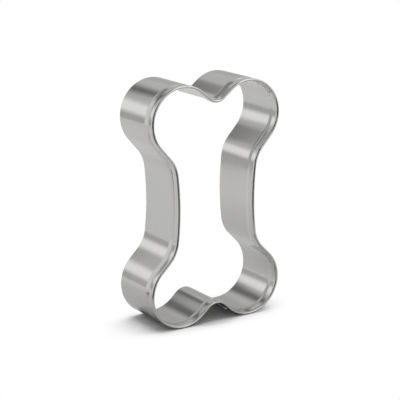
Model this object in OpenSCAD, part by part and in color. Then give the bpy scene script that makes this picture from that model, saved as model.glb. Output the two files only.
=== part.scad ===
// Bone-shaped cookie cutter, bent from one steel strip.
// The strip's near edge is folded back as a blunt rim to press on, its far edge cuts the dough,
// and its two ends lap and are held by two spot welds.
// The bone stands on two of its lobes: X is its width, Y its depth and Z its length.

/* [Strip] */
// Thickness of the steel strip
strip_t = 0.4; // [0.3:0.05:0.6]
// Depth of the cutter, from the folded rim to the cutting edge
depth = 22.8; // [16:0.1:40]

/* [Rim] */
// Width of the strip's edge that is folded back on the outside
fold_w = 3; // [2:0.1:5]
// Gap between the fold and the wall
fold_gap = 0.2; // [0.1:0.05:0.4]
// Depth over which the rim's nose is rounded
nose_l = 1; // [0.6:0.1:1.4]
// Distance of the rim's middle inwards from the wall's middle, which makes the fold nearly flush
rim_in = 0.25; // [0:0.05:0.5]
// Depth over which the wall steps inwards to go under the fold
step_l = 2.4; // [0.8:0.1:4]

/* [Bone outline, on the middle of the strip] */
// Radius of the four lobes
lobe_r = 12.9; // [10:0.1:18]
// Radius of the upper notch
upper_notch_r = 4; // [3:0.1:8]
// Slope of the upper notch's straight sides, in degrees
upper_notch_angle = 39.5; // [30:0.1:55]
// Length of each straight side of the upper notch
upper_notch_run = 4.1; // [2:0.1:6]
// Slope of the flank that leaves each upper lobe for the neck, in degrees
upper_flank_angle = 41.6; // [35:0.1:50]
// Length of the upper flank's straight part
upper_flank_run = 5.8; // [4:0.1:8]
// Radius of the lower notch
lower_notch_r = 5.3; // [3:0.1:8]
// Slope of the lower notch's straight sides, in degrees
lower_notch_angle = 43.2; // [30:0.1:55]
// Length of each straight side of the lower notch, where the welds lie
lower_notch_run = 2.7; // [2.4:0.1:5]
// Slope of the flank that leaves each lower lobe for the neck, in degrees
lower_flank_angle = 45.1; // [35:0.1:50]
// Radius of the bend from each flank into the shank
neck_r = 11.3; // [8:0.1:20]
// Radius of the shank's shallow curve
shank_r = 104; // [80:1:300]
// Length of the shank's shallow curve
shank_l = 24.6; // [15:0.1:40]

/* [Lap joint] */
// Length over which the strip's ends lie on each other
lap_l = 7; // [5:0.1:9]
// Gap between the lapped ends
lap_gap = 0.05; // [0.03:0.01:0.1]
// Length over which the second end steps out before the lap
lap_step_l = 2.4; // [1.5:0.1:4]
// Gap between the two ends of the folded rim
seam_gap = 0.2; // [0.1:0.05:0.5]
// Distance kept between the second end's tongue and the step under the fold
tongue_gap = 0.3; // [0.2:0.05:1]

/* [Spot welds] */
// Diameter of a weld nugget
nugget_d = 2.2; // [1.5:0.1:2.4]
// Distance between the two welds
weld_pitch = 9; // [4:0.1:12]
// Diameter of the flat mark that an electrode leaves
mark_d = 2.8; // [2.5:0.1:3.5]
// Depth of an electrode's mark
mark_h = 0.05; // [0.03:0.01:0.08]

/* [Smoothness] */
// Greatest distance between a true curve and its flat facets
sag = 0.03; // [0.02:0.005:0.1]
// Number of facets round the rim's nose
nose_facets = 6; // [4:2:12]

/* [Hidden] */
quarter_turn = 90;
half_turn = 180;
$fn = 64;

// The rim's front, the cutting edge, the fold's free lip and the end of the wall's step
y_rim = -depth / 2;
y_edge = depth / 2;
y_lip = y_rim + fold_w;
y_wall = y_lip + step_l;
y_tongue = y_wall + tongue_gap;

// Half the rim's thickness and half the gap inside the fold, how deep the fold's inside
// reaches into the nose, and the place where the rounding starts
nose_r = strip_t + fold_gap / 2;
fold_r = fold_gap / 2;
fold_l = nose_l - strip_t;
y_nose = y_rim + nose_l;

// How far the second end steps out, so that its tongue lies on the first end
lap_shift = strip_t + lap_gap;

// A move of the outline is [length, turn in degrees], and a turn to the right is positive.
// The outline runs clockwise seen from the rim, so outwards is on its left.
function run(length) = [length, 0];
function bend(radius, turn) = [radius * abs(turn) * PI / half_turn, turn];

// Moves of a quarter of the bone, from the middle of its notch to the waist
shank_turn = shank_l / 2 / shank_r * half_turn / PI;
function quarter(notch_r, notch_angle, notch_run, flank_angle, flank_run) = [
    bend(notch_r, -notch_angle),
    run(notch_run),
    bend(lobe_r, notch_angle),
    bend(lobe_r, quarter_turn),
    bend(lobe_r, flank_angle),
    run(flank_run),
    bend(neck_r, shank_turn - flank_angle),
    bend(shank_r, -shank_turn)
];

// Distance from the bone's middle to the centre of a neck's bend, with no straight flank
function neck_x(notch_r, notch_angle, notch_run, flank_angle) =
    (notch_r + lobe_r) * sin(notch_angle)
    + notch_run * cos(notch_angle)
    + (lobe_r + neck_r) * cos(flank_angle);

// Both halves meet at the waist, so the lower flank is as long as that takes
upper_neck_x =
    neck_x(upper_notch_r, upper_notch_angle, upper_notch_run, upper_flank_angle)
    - upper_flank_run * sin(upper_flank_angle);
lower_flank_run =
    (neck_x(lower_notch_r, lower_notch_angle, lower_notch_run, lower_flank_angle) - upper_neck_x)
    / sin(lower_flank_angle);

function backwards(list) = [for (i = [len(list) - 1 : -1 : 0]) list[i]];
upper_quarter = quarter(
    upper_notch_r, upper_notch_angle, upper_notch_run, upper_flank_angle, upper_flank_run
);
lower_quarter = quarter(
    lower_notch_r, lower_notch_angle, lower_notch_run, lower_flank_angle, lower_flank_run
);
right_side = concat(upper_quarter, backwards(lower_quarter));
outline = concat(right_side, backwards(right_side));

// A pose is [x, z, heading]. This one follows a pose by part of a move.
function follow(pose, move, length) =
    let (turn = move[1] * length / move[0], heading = pose[2])
    turn == 0
    ? [pose[0] + length * cos(heading), pose[1] + length * sin(heading), heading]
    : let (radius = length * half_turn / PI / turn)
      [
          pose[0] + radius * (sin(heading) - sin(heading - turn)),
          pose[1] + radius * (cos(heading - turn) - cos(heading)),
          heading - turn
      ];

// The pose after a whole list of moves
function travel(pose, moves, i = 0) =
    i == len(moves) ? pose : travel(follow(pose, moves[i], moves[i][0]), moves, i + 1);

// The pose at a distance along the outline
function pose_at(distance, pose = start, i = 0) =
    distance <= outline[i][0] || i == len(outline) - 1
    ? follow(pose, outline[i], distance)
    : pose_at(distance - outline[i][0], follow(pose, outline[i], outline[i][0]), i + 1);

// Height of the lower notch's middle above the foot of the lower lobes, and the start that
// sets the lowest of rim and wall on the ground
origin = [0, 0, 0];
notch_rise = travel(origin, [for (i = [0 : 2]) lower_quarter[i]])[1];
foot = travel(origin, right_side)[1] - notch_rise;
rim_out = nose_r - rim_in;
start = [0, max(rim_out, strip_t / 2) - foot, 0];

// Length of the outline before each move
function ahead(i) = i == 0 ? 0 : ahead(i - 1) + outline[i - 1][0];
outline_l = ahead(len(outline));

// Facets of a move, so that none strays further than the sag
function facets(move) =
    move[1] == 0
    ? 1
    : let (radius = move[0] * half_turn / PI / abs(move[1]))
      ceil(abs(move[1]) / (2 * acos(1 - sag / radius)));

// The seam lies on the right side of the lower notch, with the welds at that side's middle
notch_l = lower_quarter[0][0];
weld_at = outline_l / 2 - notch_l - lower_notch_run / 2;
seam_at = weld_at - lap_l / 2;
band_end = seam_at + outline_l - seam_gap;
lap_step_at = band_end - lap_step_l;
lap_end = seam_at + outline_l + lap_l;
lap_facets = 6;
spare = 2 * seam_gap;

// Distances along the outline at which the strip has a section
marks = [
    for (i = [0 : len(outline) - 1])
        let (count = facets(outline[i]))
        for (j = [0 : count - 1]) ahead(i) + outline[i][0] * j / count
];
function between(from, to) = [
    for (lap = [0 : 2]) for (mark = marks)
        if (mark + lap * outline_l > from + spare && mark + lap * outline_l < to - spare)
            mark + lap * outline_l
];
band_stations = concat(
    [seam_at],
    between(seam_at, lap_step_at),
    [for (i = [0 : lap_facets]) lap_step_at + lap_step_l * i / lap_facets]
);
tongue_stations = concat(between(band_end, lap_end), [lap_end]);

// How far the wall has stepped out at a distance along the outline, on a smooth ramp
function stepped_out(distance) =
    let (share = min(1, max(0, (distance - lap_step_at) / lap_step_l)))
    lap_shift * (1 - cos(half_turn * share)) / 2;

// Section of the strip as [outwards, along the depth] points: down the wall's outer face,
// round the inside of the fold to its lip, round the nose and up the wall's inner face
fold_facets = 2;
function arc(radius, length, from, to, count) = [
    for (i = [0 : count])
        let (angle = from + (to - from) * i / count)
        [radius * cos(angle) - rim_in, y_nose + length * sin(angle)]
];
function section(out) = concat(
    [
        [out + strip_t / 2, y_edge],
        [out + strip_t / 2, y_tongue],
        [out + strip_t / 2, y_wall],
        [-fold_r - rim_in, y_lip]
    ],
    arc(fold_r, fold_l, -half_turn, 0, fold_facets),
    [[fold_r - rim_in, y_lip], [nose_r - rim_in, y_lip]],
    arc(nose_r, nose_l, 0, -half_turn, nose_facets),
    [
        [-nose_r - rim_in, y_lip],
        [out - strip_t / 2, y_wall],
        [out - strip_t / 2, y_tongue],
        [out - strip_t / 2, y_edge]
    ]
);
section_points = len(section(0));

// For each point from the wall's edge to the inner side of the lip, the one that faces it
// through the strip's thickness
wall_points = 4;
lip_point = wall_points + fold_facets + 1;
nose_end = lip_point + 2 + nose_facets;
facing = concat(
    [for (i = [0 : wall_points - 1]) section_points - 1 - i],
    [for (i = [0 : fold_facets]) nose_end - i * nose_facets / fold_facets],
    [lip_point + 1]
);

// Faces that close an end of the strip, from a point to the lip, each of them convex
function end_faces(ring, from) = [
    for (i = [from : lip_point - 1])
        concat(
            [ring[i], ring[i + 1]],
            [for (j = [facing[i + 1] : facing[i]]) ring[j]]
        )
];

// The wall's four corners in a list that goes round a section
function wall_part(list) =
    [list[0], list[1], list[section_points - 2], list[section_points - 1]];
tongue_points = len(wall_part(section(0)));

// Places a section across the outline
function place(points, distance) =
    let (pose = pose_at(distance % outline_l))
    [for (p = points) [pose[0] - p[0] * sin(pose[2]), p[1], pose[1] + p[0] * cos(pose[2])]];

// Two triangles between each pair of neighbours in two rings of points
function skin(ring, next) = [
    for (i = [0 : len(ring) - 1])
        let (j = (i + 1) % len(ring))
        each [[ring[j], ring[i], next[i]], [ring[j], next[i], next[j]]]
];
function band_ring(i) = [for (j = [0 : section_points - 1]) i * section_points + j];
last_ring = band_ring(len(band_stations) - 1);

// The tongue goes on from the wall part of the last section
function tongue_ring(i) =
    i == 0
    ? wall_part(last_ring)
    : [
        for (j = [0 : tongue_points - 1])
            len(band_stations) * section_points + (i - 1) * tongue_points + j
    ];

module strip() {
    tongue_rings = len(tongue_stations);
    polyhedron(
        points = concat(
            [for (d = band_stations) each place(section(stepped_out(d)), d)],
            [for (d = tongue_stations) each place(wall_part(section(lap_shift)), d)]
        ),
        faces = concat(
            end_faces(band_ring(0), 0),
            [for (i = [1 : len(band_stations) - 1]) each skin(band_ring(i - 1), band_ring(i))],
            [for (face = end_faces(last_ring, 1)) backwards(face)],
            [for (i = [1 : tongue_rings]) each skin(tongue_ring(i - 1), tongue_ring(i))],
            [backwards(tongue_ring(tongue_rings))]
        ),
        convexity = 10
    );
}

// Puts a child at a weld, its Z axis pointing outwards, at a height from the strip's middle
weld_pose = pose_at(weld_at);
y_welds = (y_tongue + y_edge) / 2;
module at_weld(side, height) {
    translate([weld_pose[0], y_welds + side * weld_pitch / 2, weld_pose[1]])
        rotate([0, -weld_pose[2], 0])
            translate([0, 0, height])
                children();
}

// A nugget joins the inner half of the tongue to the outer half of the first end
module nugget(side) {
    at_weld(side, lap_shift / 2)
        cylinder(d = nugget_d, h = lap_shift, center = true);
}

// The electrodes press a shallow flat mark into both faces of the lap
module electrode_marks(side) {
    at_weld(side, lap_shift + strip_t / 2)
        cylinder(d = mark_d, h = 2 * mark_h, center = true);
    at_weld(side, -strip_t / 2)
        cylinder(d = mark_d, h = 2 * mark_h, center = true);
}

module cutter_band() {
    color("silver")
        difference() {
            strip();
            for (side = [-1, 1]) {
                nugget(side);
                electrode_marks(side);
            }
        }
}

module spot_weld_by_rim() {
    color("slategray") nugget(-1);
}

module spot_weld_by_edge() {
    color("slategray") nugget(1);
}

cutter_band();
spot_weld_by_rim();
spot_weld_by_edge();
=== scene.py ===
# %% [markdown]
# # A bone-shaped cookie cutter
#
# The real object is one strip of stainless steel. One edge of the strip is folded back on itself, which
# makes a blunt rim to press on, and the other edge is left thin to cut the dough. The strip is bent round
# to a bone, and its two ends lap over each other and are spot welded.
#
# This lesson builds that strip as one surface worked out with numpy, gives it a rolled steel finish, and
# stands it in a small photo studio. Lengths are in millimetres until they go into a mesh, because a
# sheet-metal drawing is in millimetres, and Blender's unit is the metre.

# %% The frame and its size
import math

import bpy
import numpy as np
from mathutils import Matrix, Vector


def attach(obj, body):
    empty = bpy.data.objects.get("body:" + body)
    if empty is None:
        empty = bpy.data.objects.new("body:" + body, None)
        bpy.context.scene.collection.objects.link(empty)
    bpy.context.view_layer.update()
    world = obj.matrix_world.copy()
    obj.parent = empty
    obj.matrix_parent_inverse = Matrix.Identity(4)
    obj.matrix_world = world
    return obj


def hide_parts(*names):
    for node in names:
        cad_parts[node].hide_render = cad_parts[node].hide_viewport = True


MM = 0.001
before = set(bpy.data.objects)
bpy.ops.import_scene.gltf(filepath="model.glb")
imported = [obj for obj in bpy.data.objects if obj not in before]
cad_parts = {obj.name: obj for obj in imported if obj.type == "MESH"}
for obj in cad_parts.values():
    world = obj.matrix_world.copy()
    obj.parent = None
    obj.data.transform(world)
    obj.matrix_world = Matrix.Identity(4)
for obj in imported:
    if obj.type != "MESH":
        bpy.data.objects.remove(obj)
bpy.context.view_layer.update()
print("frame nodes:", sorted(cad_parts))

# %% [markdown]
# ## Camera
#
# The cutter stands on two of its lobes. The camera stands to the left of its front, a little above it and
# rather far away, so the bone keeps its shape and its two sides look almost parallel. A long lens does
# this. The sensor is Blender's usual 36 mm, and the focal length is told in pixels of a 400 pixel picture.
# The middle of the picture lies a little below and to the left of the bone's own middle.

# %% Camera
azimuth = math.radians(-32.92)
elevation = math.radians(14.56)
camera_distance = 517.4
focal_pixels, picture_pixels, sensor_width = 1409.75, 400, 36
look_at = np.array([0, 0, 44.57])
right_by, up_by = -0.173, -0.858

towards_camera = np.array([
    math.sin(azimuth) * math.cos(elevation),
    -math.cos(azimuth) * math.cos(elevation),
    math.sin(elevation),
])
to_the_right = np.array([math.cos(azimuth), math.sin(azimuth), 0])
upwards = np.cross(towards_camera, to_the_right)
camera_place = (
    look_at + right_by * to_the_right + up_by * upwards + camera_distance * towards_camera
)

camera_data = bpy.data.cameras.new("camera")
camera_data.sensor_width = sensor_width
camera_data.lens = focal_pixels / picture_pixels * sensor_width
camera_data.clip_start, camera_data.clip_end = 0.01, 50
camera = bpy.data.objects.new("camera", camera_data)
camera.location = camera_place * MM
camera.rotation_euler = Vector(towards_camera).to_track_quat("Z", "Y").to_euler()
bpy.context.scene.collection.objects.link(camera)
bpy.context.scene.camera = camera
bpy.context.scene.view_settings.view_transform = "Standard"
print(f"camera: {camera_data.lens:.1f} mm lens at", np.round(camera_place, 1))

# %% [markdown]
# ## The bone's outline
#
# A bender makes the outline as a row of moves: so many millimetres of strip through so many degrees. A
# quarter of the bone is eight moves, from the middle of a notch to the waist. The upper and the lower half
# have their own notch and flank, and the left side mirrors the right one. Both halves have to meet at the
# waist, so the lower flank's length follows from the rest.
#
# The heading is then a simple function of the distance along the strip. Steel springs a little where one
# bend runs into the next, so the heading is averaged over a short window, and the place on the outline is
# the running sum of its cosine and sine.

# %% Moves of the bender
lobe_r, neck_r = 12.9, 11.3
upper_notch_r, upper_notch_angle, upper_notch_run = 4, 39.5, 4.1
upper_flank_angle, upper_flank_run = 41.6, 5.8
lower_notch_r, lower_notch_angle, lower_notch_run = 5.3, 43.2, 2.7
lower_flank_angle = 45.1
shank_r, shank_l = 104, 24.6
shank_turn = math.degrees(shank_l / 2 / shank_r)


def bend(radius, turn):
    """(length, turn) of a bend of that radius; the turn is in degrees, positive to the right."""
    return radius * math.radians(abs(turn)), turn


def quarter(notch_r, notch_angle, notch_run, flank_angle, flank_run):
    """Moves from the middle of a notch to the waist."""
    return [
        bend(notch_r, -notch_angle),
        (notch_run, 0),
        bend(lobe_r, notch_angle),
        bend(lobe_r, 90),
        bend(lobe_r, flank_angle),
        (flank_run, 0),
        bend(neck_r, shank_turn - flank_angle),
        bend(shank_r, -shank_turn),
    ]


def neck_x(notch_r, notch_angle, notch_run, flank_angle):
    """Distance from the bone's middle to the centre of a neck's bend, with no straight flank."""
    slope, flank = math.radians(notch_angle), math.radians(flank_angle)
    to_lobe = (notch_r + lobe_r) * math.sin(slope) + notch_run * math.cos(slope)
    return to_lobe + (lobe_r + neck_r) * math.cos(flank)


upper_neck_x = (
    neck_x(upper_notch_r, upper_notch_angle, upper_notch_run, upper_flank_angle)
    - upper_flank_run * math.sin(math.radians(upper_flank_angle))
)
lower_flank_run = (
    neck_x(lower_notch_r, lower_notch_angle, lower_notch_run, lower_flank_angle) - upper_neck_x
) / math.sin(math.radians(lower_flank_angle))
upper_quarter = quarter(
    upper_notch_r, upper_notch_angle, upper_notch_run, upper_flank_angle, upper_flank_run
)
lower_quarter = quarter(
    lower_notch_r, lower_notch_angle, lower_notch_run, lower_flank_angle, lower_flank_run
)
right_side = upper_quarter + lower_quarter[::-1]
moves = np.array(right_side + right_side[::-1])
outline_l = moves[:, 0].sum()
print(f"outline: {len(moves)} moves, {outline_l:.2f} mm")

# %% Outline as a function of the distance along the strip
fine_step = 0.02
spring_l = 2.0


def running_sum(steps):
    """0, then the sum of the first step, of the first two, and so on."""
    return np.concatenate([[0], np.cumsum(steps)])


def averaged(values, window_l):
    """Mean of each value's neighbours, weighed by a smooth hill, and how many are lost at each end."""
    count = 2 * round(window_l / 2 / fine_step) + 1
    hill = np.hanning(count + 2)[1:-1]
    return np.convolve(values, hill / hill.sum(), "valid"), count // 2


rounds = 4
knots = running_sum(np.tile(moves[:, 0], rounds)) - outline_l
knot_headings = np.radians(360 - running_sum(np.tile(moves[:, 1], rounds)))
fine = np.arange(-outline_l / 2, 2.6 * outline_l, fine_step)
heading, cut = averaged(np.interp(fine, knots, knot_headings), spring_l)
fine = fine[cut:-cut]
fine_x = running_sum(np.cos(heading[:-1]) * fine_step)
fine_z = running_sum(np.sin(heading[:-1]) * fine_step)
bending = np.abs(np.gradient(heading, fine))
print(f"outline: {np.ptp(fine_x):.2f} x {np.ptp(fine_z):.2f} mm, tightest bend {1 / bending.max():.1f} mm")

# %% [markdown]
# ## The strip's section
#
# Seen on its end, the strip is a straight wall that dives inwards just before the rim, runs to the rim,
# turns back over itself and ends in a free lip on the outside. The dive makes the fold nearly flush with
# the wall, and it is steepest close to the lip. Both faces are worked out as points (outwards, depth),
# with a second number line along the strip's width: 0 at the cutting edge, growing towards the lip. The
# nose of the fold is half an ellipse, longer than it is thick, because the fold is pressed nearly shut.
# The fold's outside is a little round, so its lip lies closer to the wall than the rest of it.

# %% Section of the strip
strip_t, depth = 0.4, 22.8
fold_w, fold_gap, nose_l, rim_in, step_l = 3.0, 0.2, 1.0, 0.25, 2.4
tongue_gap = 0.3
lip_press = 0.14
y_rim, y_edge = -depth / 2, depth / 2
y_lip = y_rim + fold_w
y_wall = y_lip + step_l
y_tongue = y_wall + tongue_gap
nose_r, fold_r = strip_t + fold_gap / 2, fold_gap / 2
fold_l = nose_l - strip_t
y_nose = y_rim + nose_l


def ramp(share):
    """A smooth way from 0 to 1: half a wave of a cosine, flat before and after."""
    return (1 - np.cos(np.pi * np.clip(share, 0, 1))) / 2


def dive(share, steepest=0.8):
    """From 0 to 1, ever steeper up to that share and then less so: the mean of a line and two parabolas."""
    share = np.clip(share, 0, 1)
    curve = np.where(share < steepest, share**2 / steepest, 1 - (1 - share) ** 2 / (1 - steepest))
    return (share + curve) / 2


wall_y = np.linspace(y_edge, y_nose, 1200)
turn = np.linspace(-np.pi, 0, 200)[1:]
fold_y = np.linspace(y_nose, y_lip, 120)[1:]
wall_middle = -(fold_r + strip_t / 2 + rim_in) * dive((y_wall - wall_y) / step_l)
pressed = lip_press * ((fold_y - y_nose) / (y_lip - y_nose)) ** 2
outer_face = np.concatenate([
    np.stack([wall_middle + strip_t / 2, wall_y], 1),
    np.stack([fold_r * np.cos(turn) - rim_in, y_nose + fold_l * np.sin(turn)], 1),
    np.stack([fold_r - rim_in - pressed, fold_y], 1),
])
inner_face = np.concatenate([
    np.stack([wall_middle - strip_t / 2, wall_y], 1),
    np.stack([nose_r * np.cos(turn) - rim_in, y_nose + nose_l * np.sin(turn)], 1),
    np.stack([nose_r - rim_in - pressed, fold_y], 1),
])
section_middle = (outer_face + inner_face) / 2
section_half = (outer_face - inner_face) / 2
width_line = running_sum(np.hypot(*np.diff(section_middle, axis=0).T))
strip_w = width_line[-1]


def width_at(y):
    """Where the wall at that depth lies on the strip's width."""
    return np.interp(-y, -wall_y, width_line[: len(wall_y)])


w_tongue, w_wall, w_lip_line = width_at(y_tongue), width_at(y_wall), width_at(y_lip)
print(f"strip: {strip_w:.2f} mm wide before it is folded, {strip_t} mm thick")

# %% [markdown]
# ## The lap joint
#
# The strip starts on the right slope of the lower notch, runs once round the bone, and goes on as a tongue
# that steps out and lies on the outside of its own start. The tongue carries no rim, because two folds
# would not fit in each other. So the sheet is an L when it is laid flat: a long band, and the tongue at
# its end.

# %% Lap joint
lap_l, lap_gap, lap_step_l, seam_gap = 7.0, 0.05, 2.4, 0.2
weld_pitch, mark_d, mark_h, mark_rim_l = 9.0, 2.8, 0.05, 0.35
weld_at = outline_l / 2 - lower_quarter[0][0] - lower_notch_run / 2
seam_at = weld_at - lap_l / 2
band_end = seam_at + outline_l - seam_gap
lap_step_at = band_end - lap_step_l
lap_end = seam_at + outline_l + lap_l
lap_shift = strip_t + lap_gap
y_welds = (y_tongue + y_edge) / 2
w_welds = width_at(np.array([y_welds + weld_pitch / 2, y_welds - weld_pitch / 2]))
print(f"band from {seam_at:.1f} to {band_end:.1f} mm, tongue to {lap_end:.1f} mm")
print("welds across the strip at, mm:", np.round(w_welds, 2))

# %% [markdown]
# ## Where the surface gets its points
#
# An even grid would waste points on the flat wall and have too few on the fold's nose and on the sheared
# edges, whose corners are rounded by less than a tenth of a millimetre. So each direction has a spacing
# that changes with the place. The running sum of 1 / spacing counts the points passed so far, and reading
# it backwards at whole counts gives their places. Cuts in the sheet have to fall on grid lines, so each
# direction is made in two stretches. Round the nose, the middle of the sheet has a mean radius of about
# 0.6 mm, which gives the nose's place on the strip's width.

# %% Grid lines along and across the strip
edge_r = 0.08
finest, coarsest = 0.03, 1.6
nose_middle_r = 0.6


def near(places, centres, reach, spacing, coarse):
    """Spacing that is fine within reach of any centre and grows by a quarter of the distance beyond it."""
    distance = np.min(np.abs(places[:, None] - np.atleast_1d(centres)[None, :]), 1)
    return np.minimum(coarse, spacing + 0.25 * np.maximum(0, distance - reach))


def grid_lines(start, end, spacing_of):
    """Places from start to end, each one spacing from the next."""
    places = np.linspace(start, end, 6000)
    spacing = spacing_of(places)
    counts = running_sum(np.diff(places) * 2 / (spacing[1:] + spacing[:-1]))
    return np.interp(np.linspace(0, counts[-1], math.ceil(counts[-1]) + 1), counts, places)


along_ends = [seam_at, band_end, lap_end]
along_welds = [weld_at, weld_at + outline_l]


def along_spacing(s):
    """Fine at the sheet's ends, a quarter of a millimetre on the weld marks, else set by the bend."""
    curved = 0.87 - 1.3 * np.interp(s, fine, bending)
    on_marks = near(s, along_welds, mark_d / 2, 0.25, 1)
    return np.minimum(np.minimum(curved, on_marks), near(s, along_ends, edge_r, finest, 1))


def across_spacing(w):
    """Finest at the edges and the cut beside the tongue, fine on the nose, the step and the marks."""
    w_nose = strip_w - (y_lip - y_nose) - math.pi / 2 * nose_middle_r
    at_edges = near(w, [0, w_tongue, strip_w], edge_r, finest, coarsest)
    on_step = near(w, (w_wall + w_lip_line) / 2, step_l / 2, 0.27, coarsest)
    on_nose = near(w, w_nose, 0.8, 0.12, coarsest)
    on_marks = near(w, w_welds, mark_d / 2 - 0.2, 0.3, coarsest)
    return np.minimum.reduce([at_edges, on_step, on_nose, on_marks])


band_lines = grid_lines(seam_at, band_end, along_spacing)
tongue_lines = grid_lines(band_end, lap_end, along_spacing)
along = np.concatenate([band_lines, tongue_lines[1:]])
wall_lines = grid_lines(0, w_tongue, across_spacing)
rim_lines = grid_lines(w_tongue, strip_w, across_spacing)
across = np.concatenate([wall_lines, rim_lines[1:]])
print(f"grid: {len(along)} x {len(across)} points on each face")

# %% [markdown]
# ## The sheet itself
#
# A point on the sheet has two numbers: s, its distance along the strip, and w, its distance from the
# cutting edge. The outline gives the place and the outward direction at s, and the section gives how far
# outwards and how deep the middle of the sheet lies at w. Thin sheet never lies quite true after it is
# bent, so a few long, low waves are added, no more than three hundredths of a millimetre high. They are
# far too small to see as shape, but they make the reflections wander a little, as on real sheet metal.
# They die out towards the lap, where the two layers are welded flat on each other.

# %% Place of the sheet's middle
random = np.random.default_rng(11)
S, W = np.meshgrid(along, across, indexing="ij")


def low_waves(count, shortest, longest, height):
    """Sum of sine waves in s and w with random directions, lengths and starts; lengths in millimetres."""
    lengths = random.uniform(shortest, longest, count)
    angles = random.uniform(-0.9, 0.9, count)
    starts = random.uniform(0, 2 * np.pi, count)
    parts = [
        np.sin(2 * np.pi * (S * math.cos(a) + W * math.sin(a)) / length + start) * length / longest
        for length, a, start in zip(lengths, angles, starts)
    ]
    return height * np.sum(parts, 0) / math.sqrt(count)


path_x = np.interp(along, fine, fine_x - (fine_x.max() + fine_x.min()) / 2)
path_z = np.interp(along, fine, fine_z - fine_z.min() + max(nose_r - rim_in, strip_t / 2))
path_heading = np.interp(along, fine, heading)
outwards_x, outwards_z = -np.sin(path_heading)[:, None], np.cos(path_heading)[:, None]

on_wall = 1 - ramp((W - w_wall) / (w_lip_line - w_wall))
stepped_out = lap_shift * ramp((S - lap_step_at) / lap_step_l)
off_lap = ramp((S - seam_at) / lap_l - 1) * ramp((lap_end - S) / lap_l - 1)
on_lip = ramp((W - strip_w + 2) / 2)
waves = low_waves(count=9, shortest=9, longest=34, height=0.02) * (0.25 + 0.75 * on_wall) * off_lap
lip_wander = low_waves(count=6, shortest=5, longest=16, height=0.02) * on_lip
middle_out = np.interp(W, width_line, section_middle[:, 0]) + stepped_out * on_wall + waves + lip_wander
middle_y = np.interp(W, width_line, section_middle[:, 1]) + 1.5 * lip_wander
print(f"waves: {waves.min():.3f} to {waves.max():.3f} mm")

# %% [markdown]
# ## Thickness, sheared edges and weld marks
#
# The two faces lie half a thickness to each side of the middle. A guillotine leaves the strip's edges
# square but never sharp: each face rolls over by less than a tenth of a millimetre. The distance to the
# nearest edge of the L tells where, and the face follows a quarter of a circle there. The two electrodes
# of the spot welder press a shallow round mark into both outer faces of the lap.

# %% The sheet's two faces
inside_corner = np.maximum(band_end - S, w_tongue - W)
edge_distance = np.minimum.reduce([W, strip_w - W, S - seam_at, lap_end - S, inside_corner])
rolled = edge_r - np.clip(edge_distance, 0, edge_r)
thickness_left = 1 - (edge_r - np.sqrt(edge_r**2 - rolled**2)) / (strip_t / 2)


def weld_distance(s_weld):
    """Distance of each grid point from the nearer of the two weld centres at that place on the strip."""
    return np.min([np.hypot(S - s_weld, W - w) for w in w_welds], 0)


def electrode_mark(distance):
    """Depth of the mark: flat inside, rising smoothly over its rim."""
    return mark_h * (1 - ramp((distance - mark_d / 2 + mark_rim_l) / mark_rim_l))


half_out = np.interp(W, width_line, section_half[:, 0]) * thickness_left
half_y = np.interp(W, width_line, section_half[:, 1]) * thickness_left
start_weld, tongue_weld = weld_distance(weld_at), weld_distance(weld_at + outline_l)


def face(side):
    """Points of one face, side 1 for the wall's outside and -1 for its inside, in metres."""
    mark = electrode_mark(tongue_weld if side == 1 else start_weld)
    out = middle_out + side * (half_out - mark)
    y = middle_y + side * half_y
    points = [path_x[:, None] + out * outwards_x, y, path_z[:, None] + out * outwards_z]
    return np.stack(points, -1) * MM


outside, inside = face(1), face(-1)
print("outside face, mm:", np.round(outside.min((0, 1)) / MM, 2), np.round(outside.max((0, 1)) / MM, 2))

# %% [markdown]
# ## From two grids to one closed mesh
#
# The cells beyond the cut are left out. Each cell that stays gives a quad on the outside face and the same
# quad, reversed, on the inside face. Wherever a cell has no neighbour, a narrow quad joins the two faces,
# so the mesh is one closed skin with all its faces outwards.

# %% Closed mesh from the two faces
def closed_shell(name, front, back, kept):
    """Mesh of two grids of points and the quads between them; kept marks the cells that stay."""
    rows, columns = front.shape[:2]
    number = np.arange(rows * columns).reshape(rows, columns)
    a, b, c, d = number[:-1, :-1], number[:-1, 1:], number[1:, 1:], number[1:, :-1]
    fronts = np.stack([a, b, c, d], -1)[kept]
    backs = fronts[:, ::-1] + number.size
    beyond = ~np.pad(kept, 1)
    open_sides = [
        (a, b, beyond[:-2, 1:-1]),
        (b, c, beyond[1:-1, 2:]),
        (c, d, beyond[2:, 1:-1]),
        (d, a, beyond[1:-1, :-2]),
    ]
    sides = [
        np.stack([q, p, p + number.size, q + number.size], -1)[kept & open_side]
        for p, q, open_side in open_sides
    ]
    quads = np.concatenate([fronts, backs, *sides])
    used, quads = np.unique(quads, return_inverse=True)
    quads = quads.reshape(-1, 4)
    points = np.concatenate([front.reshape(-1, 3), back.reshape(-1, 3)])[used]
    mesh = bpy.data.meshes.new(name)
    mesh.from_pydata(points.tolist(), [], quads.tolist())
    mesh.shade_smooth()
    return mesh, used


def give_numbers(mesh, name, values):
    """Keeps one number for each vertex in the mesh, which a material can read by its name."""
    layer = mesh.attributes.new(name, "FLOAT", "POINT")
    layer.data.foreach_set("value", values.astype(np.float32))


kept_cells = (S[1:, 1:] <= band_end + 1e-6) | (W[1:, 1:] <= w_tongue + 1e-6)
strip_mesh, used = closed_shell("steel_strip", outside, inside, kept_cells)


def on_both_faces(front_values, back_values):
    """The used vertices' values, first those of the outside face and then those of the inside face."""
    return np.concatenate([front_values.ravel(), back_values.ravel()])[used]


give_numbers(strip_mesh, "edge", on_both_faces(edge_distance, edge_distance))
give_numbers(strip_mesh, "weld", on_both_faces(tongue_weld, start_weld))
bend_here = np.broadcast_to(np.interp(along, fine, bending)[:, None], S.shape)
give_numbers(strip_mesh, "bending", on_both_faces(bend_here, bend_here))

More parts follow.
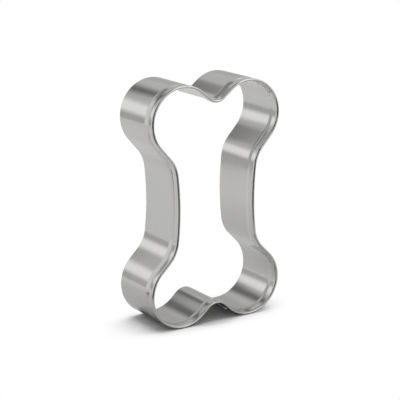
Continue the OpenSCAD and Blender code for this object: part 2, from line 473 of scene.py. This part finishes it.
flat_map = strip_mesh.uv_layers.new(name="flat_strip")
corner_vertex = np.zeros(len(strip_mesh.loops), dtype=np.int32)
strip_mesh.loops.foreach_get("vertex_index", corner_vertex)
faces_apart = outline_l / 3
flat_place = np.stack([on_both_faces(S, S + faces_apart), on_both_faces(W, W)], -1) * MM
flat_map.data.foreach_set("uv", flat_place[corner_vertex].ravel().astype(np.float32))

steel_strip = bpy.data.objects.new("steel_strip", strip_mesh)
bpy.context.scene.collection.objects.link(steel_strip)
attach(steel_strip, "root")
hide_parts("cutter_band")
print(f"steel strip: {len(strip_mesh.vertices)} vertices, {2 * len(strip_mesh.polygons)} triangles")

# %% [markdown]
# ## Writing a finish as sums
#
# A finish is a small calculation: grain here, a smudge there, a mark round each weld. It reads best as
# sums and products. The class below wraps a node's output, and Python's operators on it add Math nodes.
# Every other node comes from one method, which takes the node's type, its settings and its sockets.

# %% Wires and boards
class Wire:
    """One output of a node. Operators between wires, or a wire and a number, add Math nodes."""

    def __init__(self, board, socket):
        self.board, self.socket = board, socket

    def __add__(self, other):
        return self.board.maths("ADD", self, other)

    def __radd__(self, other):
        return self.board.maths("ADD", other, self)

    def __sub__(self, other):
        return self.board.maths("SUBTRACT", self, other)

    def __rsub__(self, other):
        return self.board.maths("SUBTRACT", other, self)

    def __mul__(self, other):
        return self.board.maths("MULTIPLY", self, other)

    def __rmul__(self, other):
        return self.board.maths("MULTIPLY", other, self)


class Board:
    """A node tree, emptied, with one way to add a node to it."""

    def __init__(self, tree):
        self.tree = tree
        tree.nodes.clear()

    def node(self, kind, settings=None, sockets=None, output=0):
        """Adds a node with its settings and sockets, by name or number, and gives one output."""
        made = self.tree.nodes.new(kind)
        for name, value in (settings or {}).items():
            setattr(made, name, value)
        for name, value in (sockets or {}).items():
            if isinstance(value, Wire):
                self.tree.links.new(value.socket, made.inputs[name])
            else:
                made.inputs[name].default_value = value
        return Wire(self, made.outputs[output]) if made.outputs else None

    def split(self, vector):
        """The three coordinates of a vector, each as a wire."""
        outputs = self.node("ShaderNodeSeparateXYZ", None, {0: vector}).socket.node.outputs
        return [Wire(self, output) for output in outputs]

    def place(self):
        """The place of the shaded point in its object, in metres."""
        return self.node("ShaderNodeTexCoord", output="Object")

    def ray(self, kind):
        """1 for rays of that kind, as the light path node names them, else 0."""
        return self.node("ShaderNodeLightPath", output=f"Is {kind} Ray")

    def maths(self, operation, *values):
        """A Math node on wires and numbers."""
        return self.node("ShaderNodeMath", {"operation": operation}, dict(enumerate(values)))

    def between(self, value, start, end, low=0.0, high=1.0):
        """Goes smoothly from low to high while the value goes from start to end."""
        names = ["Value", "From Min", "From Max", "To Min", "To Max"]
        return self.node(
            "ShaderNodeMapRange",
            {"interpolation_type": "SMOOTHSTEP"},
            dict(zip(names, [value, start, end, low, high])),
        )

    def patch(self, place, middle, half_size, soft):
        """1 inside a rectangle of the two coordinates in place, falling to 0 over a soft border."""
        inside_width, inside_height = (
            self.between(self.maths("ABSOLUTE", value - centre), half - soft / 2, half + soft / 2, 1, 0)
            for value, centre, half in zip(place, middle, half_size)
        )
        return inside_width * inside_height

    def mix(self, share, first, second):
        """A colour from the first, at share 0, to the second, at share 1."""
        return self.node("ShaderNodeMix", {"data_type": "RGBA"}, {0: share, 6: first, 7: second}, 2)

    def noise(self, place, scale, detail=2.0, stretch=(1, 1, 1)):
        """Cloudy noise around 0.5, with its place stretched first."""
        stretched = self.node(
            "ShaderNodeVectorMath", {"operation": "MULTIPLY"}, {0: place, 1: stretch}
        )
        return self.node(
            "ShaderNodeTexNoise", None, {"Vector": stretched, "Scale": scale, "Detail": detail}
        )


def material(name):
    """A new material and its board."""
    made = bpy.data.materials.new(name)
    made.use_nodes = True
    return made, Board(made.node_tree)


# %% [markdown]
# ## Rolled stainless steel
#
# Stainless strip leaves the rolling mill with a fine grain along its length and a satin brightness. The
# grain is noise on the strip's own flat map, stretched along s, so it follows every bend. It feeds a very
# low bump and a little roughness. Wider streaks and faint smudges change the roughness more slowly. The
# steel is a touch rougher where it was bent hard. Round each weld mark the heat has left a faint straw
# tint and a duller spot, and the sheared edges are rougher than the faces.

# %% Steel strip finish
steel, board = material("rolled stainless")
flat = board.node("ShaderNodeUVMap", {"uv_map": "flat_strip"})
solid = board.place()


def number_of(name):
    """The number that the mesh keeps under that name."""
    return board.node("ShaderNodeAttribute", {"attribute_name": name}, output="Fac")


grain = board.noise(flat, 9000, 3, (0.03, 1, 1))
streak = board.noise(flat, 700, 2, (0.02, 1, 1))
cloud = board.noise(solid, 60, 3)
smudge = board.noise(solid, 160, 4)
bent = board.between(number_of("bending"), 0.05, 0.2)
sheared = board.between(number_of("edge"), 0.0, 0.1, 1, 0)
hot = board.between(number_of("weld"), 1.3, 2.6, 1, 0)
straw = board.between(number_of("weld"), 1.5, 1.9) * board.between(number_of("weld"), 1.9, 2.6, 1, 0)

warm = board.mix(board.between(cloud, 0.35, 0.65), (0.620, 0.618, 0.612, 1), (0.632, 0.620, 0.602, 1))
streaked = board.mix(board.between(streak, 0.3, 0.7), (0.595, 0.592, 0.585, 1), (0.65, 0.645, 0.635, 1))
plain = board.mix(0.3, warm, streaked)
heated = board.mix(straw * 0.5, plain, (0.60, 0.52, 0.40, 1))
colour = board.mix(sheared * 0.6, heated, (0.50, 0.50, 0.50, 1))
roughness = (
    0.1 + 0.04 * grain + 0.03 * streak + 0.03 * board.between(smudge, 0.45, 0.75)
    + 0.02 * bent + 0.12 * sheared + 0.1 * hot
)
bump = board.node(
    "ShaderNodeBump", None, {"Strength": 0.1, "Distance": 0.00002, "Height": grain}
)
surface = board.node(
    "ShaderNodeBsdfPrincipled", None,
    {"Base Color": colour, "Metallic": 1.0, "Roughness": roughness, "Normal": bump},
)
board.node("ShaderNodeOutputMaterial", None, {"Surface": surface})
strip_mesh.materials.append(steel)
print("rolled stainless:", len(board.tree.nodes), "nodes")

# %% [markdown]
# ## Weld nuggets
#
# The two nuggets are steel that melted between the lapped ends. They are inside the lap and out of sight,
# but they belong to the part, so they keep the frame's own meshes and get a duller, mottled steel.

# %% Weld finish
weld_steel, board = material("fused steel")
solid = board.place()
mottle = board.noise(solid, 1500, 4)
surface = board.node(
    "ShaderNodeBsdfPrincipled", None,
    {
        "Base Color": board.mix(mottle, (0.36, 0.36, 0.38, 1), (0.54, 0.53, 0.52, 1)),
        "Metallic": 1.0,
        "Roughness": 0.3 + 0.3 * mottle,
    },
)
board.node("ShaderNodeOutputMaterial", None, {"Surface": surface})
for name in ["spot_weld_by_rim", "spot_weld_by_edge"]:
    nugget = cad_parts[name]
    nugget.data.materials.clear()
    nugget.data.materials.append(weld_steel)
print("fused steel on both spot welds")

# %% [markdown]
# ## Floor
#
# The cutter stands on a plain pale table that runs out of sight. The camera sees its paint only close
# round the foot, where the soft shadow lies, and plain white further away. The steel sees the same table
# as a dimmer one, with painted shade that makes it darker close to the cutter and a little brighter with
# the distance, and a painted shadow at the left, where the black flag of the light tent would shade it.

# %% Floor
floor_half = 3.0
floor_mesh = bpy.data.meshes.new("floor")
corners = [(-1, -1), (1, -1), (1, 1), (-1, 1)]
floor_mesh.from_pydata([(x * floor_half, y * floor_half, 0) for x, y in corners], [], [(0, 1, 2, 3)])
floor = bpy.data.objects.new("floor", floor_mesh)
bpy.context.scene.collection.objects.link(floor)

table_paint, board = material("pale table")
place = board.place()
wide_place = board.node(
    "ShaderNodeVectorMath", {"operation": "MULTIPLY_ADD"}, {0: place, 1: (1, 2.5, 1), 2: (0.003, 0, 0)}
)
distance, wide_distance = (
    board.node("ShaderNodeVectorMath", {"operation": "LENGTH"}, {0: vector}, "Value")
    for vector in (place, wide_place)
)
far = board.between(wide_distance, 0.027, 0.05)
camera_ray, glossy_ray = board.ray("Camera"), board.ray("Glossy")
# Painted shade: in reflections the table is painted darker close to the cutter's foot than further out.
painted_near_shade_grey, far_grey, painted_flag_shadow_grey, paint_grey = [(g, g, g, 1) for g in (0.51, 0.6, 0.12, 0.9)]
painted_near_shade_to_far = board.mix(board.between(distance, 0.05, 0.16), painted_near_shade_grey, far_grey)
floor_x, floor_y, _ = board.split(place)
# Painted shadow: a dark patch of table at the left, seen only in reflections, where the black flag stands;
# the flag casts no shadow itself.
painted_flag_shadow = (
    board.between(floor_x + 0.45 * floor_y, -0.1, -0.05, 1, 0)
    * board.between(floor_y, 0.03, 0.07, 1, 0)
)
mirrored = board.mix(painted_flag_shadow, painted_near_shade_to_far, painted_flag_shadow_grey)
shade = board.mix(glossy_ray, paint_grey, mirrored)
paint = board.node("ShaderNodeBsdfDiffuse", None, {"Color": shade})
lift = board.node("ShaderNodeEmission", None, {"Strength": 0.02 * camera_ray})
white = board.node("ShaderNodeEmission", None, {"Strength": 1.0})
lifted = board.node("ShaderNodeAddShader", None, {0: paint, 1: lift})
seen = board.node("ShaderNodeMixShader", None, {0: far * camera_ray, 1: lifted, 2: white})
board.node("ShaderNodeOutputMaterial", None, {"Surface": seen})
floor_mesh.materials.append(table_paint)
print("floor:", 2 * floor_half, "m wide")

# %% [markdown]
# ## The light tent that the steel reflects
#
# Metal has almost no colour of its own: it shows the room. Seen from one side, all the flat walls of a
# cutter mirror one ring of directions behind it, so the reflections in a photograph tell where the bright
# and the dark things stood. Here they stood in a small light tent. Its back wall is dim, with a bright
# window at the left and a dark gap near the top. Its side walls glow, and the left one ends in a black
# flag towards the camera, which draws the dark line round the rim. Only reflections see these panels.

# %% Panels of the tent
def tent_panel(name, corner, across, up, level_of):
    """A flat panel from a corner along two sides in millimetres, which glows with level_of(its board)."""
    corner, across, up = (np.array(v, dtype=float) for v in (corner, across, up))
    mesh = bpy.data.meshes.new(name)
    points = [corner, corner + across, corner + across + up, corner + up]
    mesh.from_pydata([(p * MM).tolist() for p in points], [], [(0, 1, 2, 3)])
    glow, board = material(name)
    light = board.node("ShaderNodeEmission", None, {"Strength": level_of(board)})
    board.node("ShaderNodeOutputMaterial", None, {"Surface": light})
    mesh.materials.append(glow)
    panel = bpy.data.objects.new(name, mesh)
    bpy.context.scene.collection.objects.link(panel)
    panel.visible_camera = panel.visible_diffuse = panel.visible_shadow = False
    panel.visible_transmission = panel.visible_volume_scatter = False
    return panel


tent_h = 420
low_level, high_level, window_level, gap_level = 0.5, 0.63, 1.08, 0.18


def back_wall_level(board):
    """Dim near the floor, a window at the left and a dark gap with slanted sides near the top."""
    across, _, up = (coordinate * (1 / MM) for coordinate in board.split(board.place()))
    level = board.between(up, 205, 255, low_level, high_level)
    window = board.patch((across, up), middle=(-230, 157), half_size=(76, 68), soft=75)
    gap = (
        board.between(across - 0.35 * up, -228, -170)
        * board.between(across + 0.6 * up, 125, 235, 1, 0)
        * board.between(up, 165, 215)
    )
    level = level * (1 - window) + window_level * window
    return level * (1 - gap) + gap_level * gap


tent_panels = [
    tent_panel("back_wall", (-300, 340, 0), (640, 0, 0), (0, 0, tent_h), back_wall_level),
    tent_panel("left_wall", (-290, 340, 0), (0, -250, 0), (0, 0, tent_h), lambda board: 0.85),
    tent_panel("right_wall", (350, 340, 0), (0, -320, 0), (0, 0, tent_h), lambda board: 1.2),
    tent_panel("black_flag", (-290, 85, 0), (0, -335, 0), (0, 0, tent_h), lambda board: 0.03),
]
print("tent:", [panel.name for panel in tent_panels])

# %% [markdown]
# ## The room round the tent
#
# The rest of the room is written into the world as soft patches on a grey backdrop. Each has an azimuth,
# an elevation, a half width, a half height and the width of its soft border, all in degrees, and then its
# level. Azimuth 0 is straight behind the cutter, and it grows to the right. The camera itself sees plain
# white. The floor is lit by a sky of its own, bright overhead and behind and dim near the horizon, so the
# shadow stays close round the foot and is deep under the notch.

# %% World
world = bpy.data.worlds.new("studio")
bpy.context.scene.world = world
world.use_nodes = True
board = Board(world.node_tree)
to_x, to_y, to_z = board.split(board.node("ShaderNodeTexCoord", output="Generated"))
high = board.maths("ARCSINE", to_z) * (180 / math.pi)


def room_patch(azimuth, elevation, wide, tall, soft):
    """A soft patch round a direction, with its half width and half height in degrees."""
    c, s = math.cos(math.radians(azimuth)), math.sin(math.radians(azimuth))
    aside = board.maths("ARCTAN2", to_x * c - to_y * s, to_x * s + to_y * c) * (180 / math.pi)
    return board.patch((aside, high), (0, elevation), (wide, tall), soft)


backdrop, sky_level = 0.67, 0.75
patches = {
    "light by the camera": ((180, 20, 50, 26, 14), 0.8),
    "light overhead": ((110, 60, 75, 24, 20), 1.2),
    "open ceiling behind": ((-30, 64, 45, 16, 14), 0.3),
}
room = backdrop
for where, level in patches.values():
    mask = room_patch(*where)
    room = room * (1 - mask) + level * mask
sees_room = board.maths("MAXIMUM", board.ray("Glossy"), board.ray("Transmission"))
sky_light = sky_level * board.between(high, 5, 50) * (1 + 0.2 * to_y)
level = sky_light * (1 - sees_room) + room * sees_room
from_camera = board.ray("Camera")
strength = from_camera + level * (1 - from_camera)
sky = board.node("ShaderNodeBackground", None, {"Color": (1, 1, 1, 1), "Strength": strength})
board.node("ShaderNodeOutputWorld", None, {"Surface": sky})
print("room:", len(patches), "patches")

# %% [markdown]
# ## Lamp
#
# One large lamp hangs above and slightly behind the cutter. It lights the floor alone: its reflection is
# already in the room.

# %% Lamp
def area_lamp(name, place, size, power):
    """A square lamp at that place in metres, turned to the cutter's foot, not seen in reflections."""
    data = bpy.data.lights.new(name, "AREA")
    data.size, data.energy = size, power
    lamp = bpy.data.objects.new(name, data)
    lamp.location = place
    lamp.rotation_euler = Vector(place).to_track_quat("Z", "Y").to_euler()
    lamp.visible_glossy = False
    bpy.context.scene.collection.objects.link(lamp)
    return lamp


overhead = area_lamp("overhead", (0.03, 0.16, 0.95), 0.9, 8.0)
print("lamp:", overhead.name)
